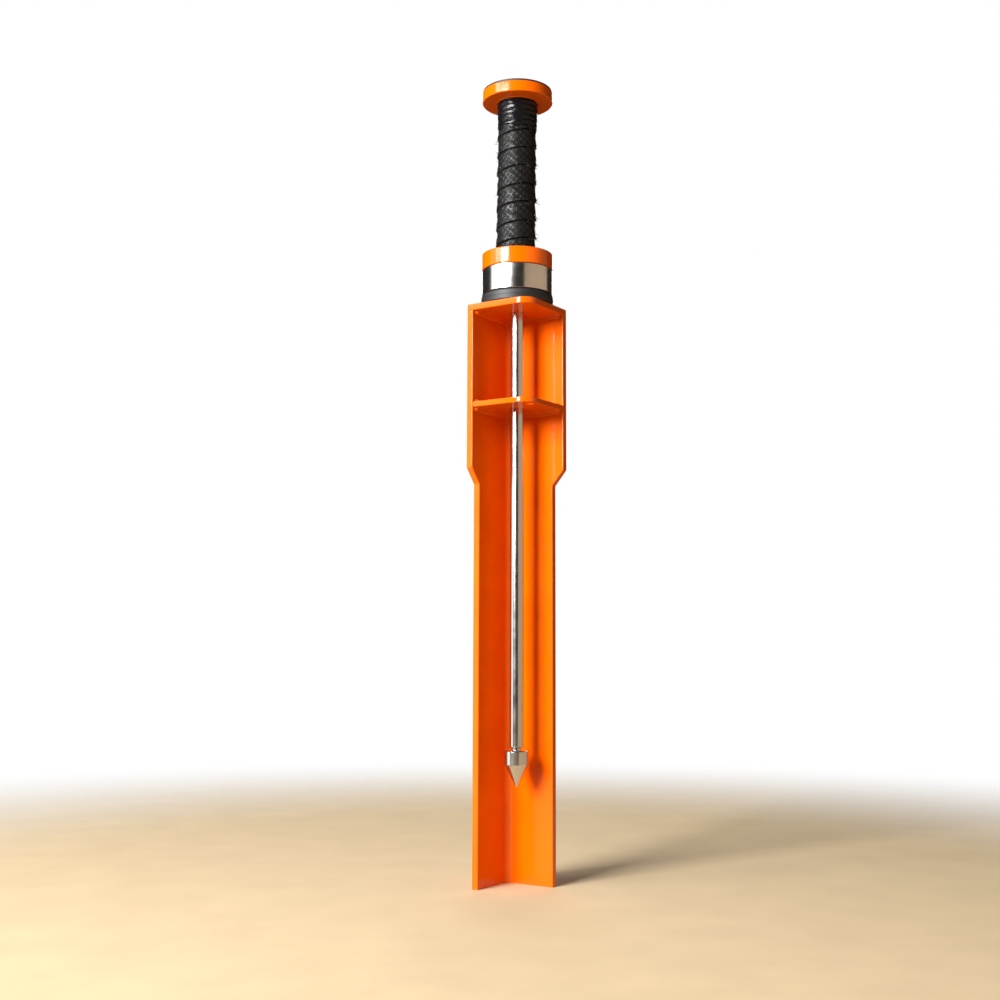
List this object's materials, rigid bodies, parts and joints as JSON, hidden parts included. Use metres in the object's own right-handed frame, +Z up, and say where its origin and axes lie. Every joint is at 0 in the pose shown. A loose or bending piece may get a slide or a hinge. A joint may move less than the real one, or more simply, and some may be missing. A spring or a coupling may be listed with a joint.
{
  "type": "slide hammer ground spike",
  "caption": "Angle-section steel ground spike with a captive slide hammer: guided rod with cone stop, rubber bumper, striker collar and taped handle.",
  "frame": {"origin": "on the rod's axis at the ground line, up to which the spike is driven in", "axes": "+Z up along the rod; the angle's outer corner is at -X +Y and its open side faces +X -Y"},
  "size_m": [0.0638, 0.0638, 0.8138],
  "materials": {
    "orange_paint": "gloss",
    "polished_steel": "polished",
    "bare_tube": "drawn",
    "zinc_steel": "zinc plated",
    "black_nylon": "satin",
    "bumper_rubber": "moulded",
    "pad_rubber": "fine grain",
    "black_overgrip": "tacky embossed",
    "black_tape": "gloss"
  },
  "bodies": {
    "spike": {"angle_blade": "orange_paint", "top_plate": "orange_paint", "guide_plate": "orange_paint", "top_plate_weld": "orange_paint", "guide_plate_weld_upper": "orange_paint", "guide_plate_weld_lower": "orange_paint", "top_plate_bush": "black_nylon", "guide_plate_bush": "black_nylon"},
    "bumper": {"bumper_ring": "bumper_rubber"},
    "hammer": {"guide_rod": "polished_steel", "cone_point": "polished_steel", "collar_washer": "zinc_steel", "collar_nut": "zinc_steel", "striker_collar": "polished_steel", "guard_ring": "orange_paint", "handle_tube": "bare_tube", "overgrip": "black_overgrip", "finishing_tape": "black_tape", "end_cap": "orange_paint", "cap_screw": "zinc_steel", "cap_pad": "pad_rubber"}
  },
  "joints": [
    {"name": "hammer_stroke", "type": "slide", "parent": "spike", "child": "bumper", "axis": [0, 0, 1], "range_m": [0, 0.2948]},
    {"name": "hammer_spin", "type": "hinge", "parent": "bumper", "child": "hammer", "pos_m": [0, 0, 0.5132], "axis": [0, 0, 1], "continuous": true}
  ]
}
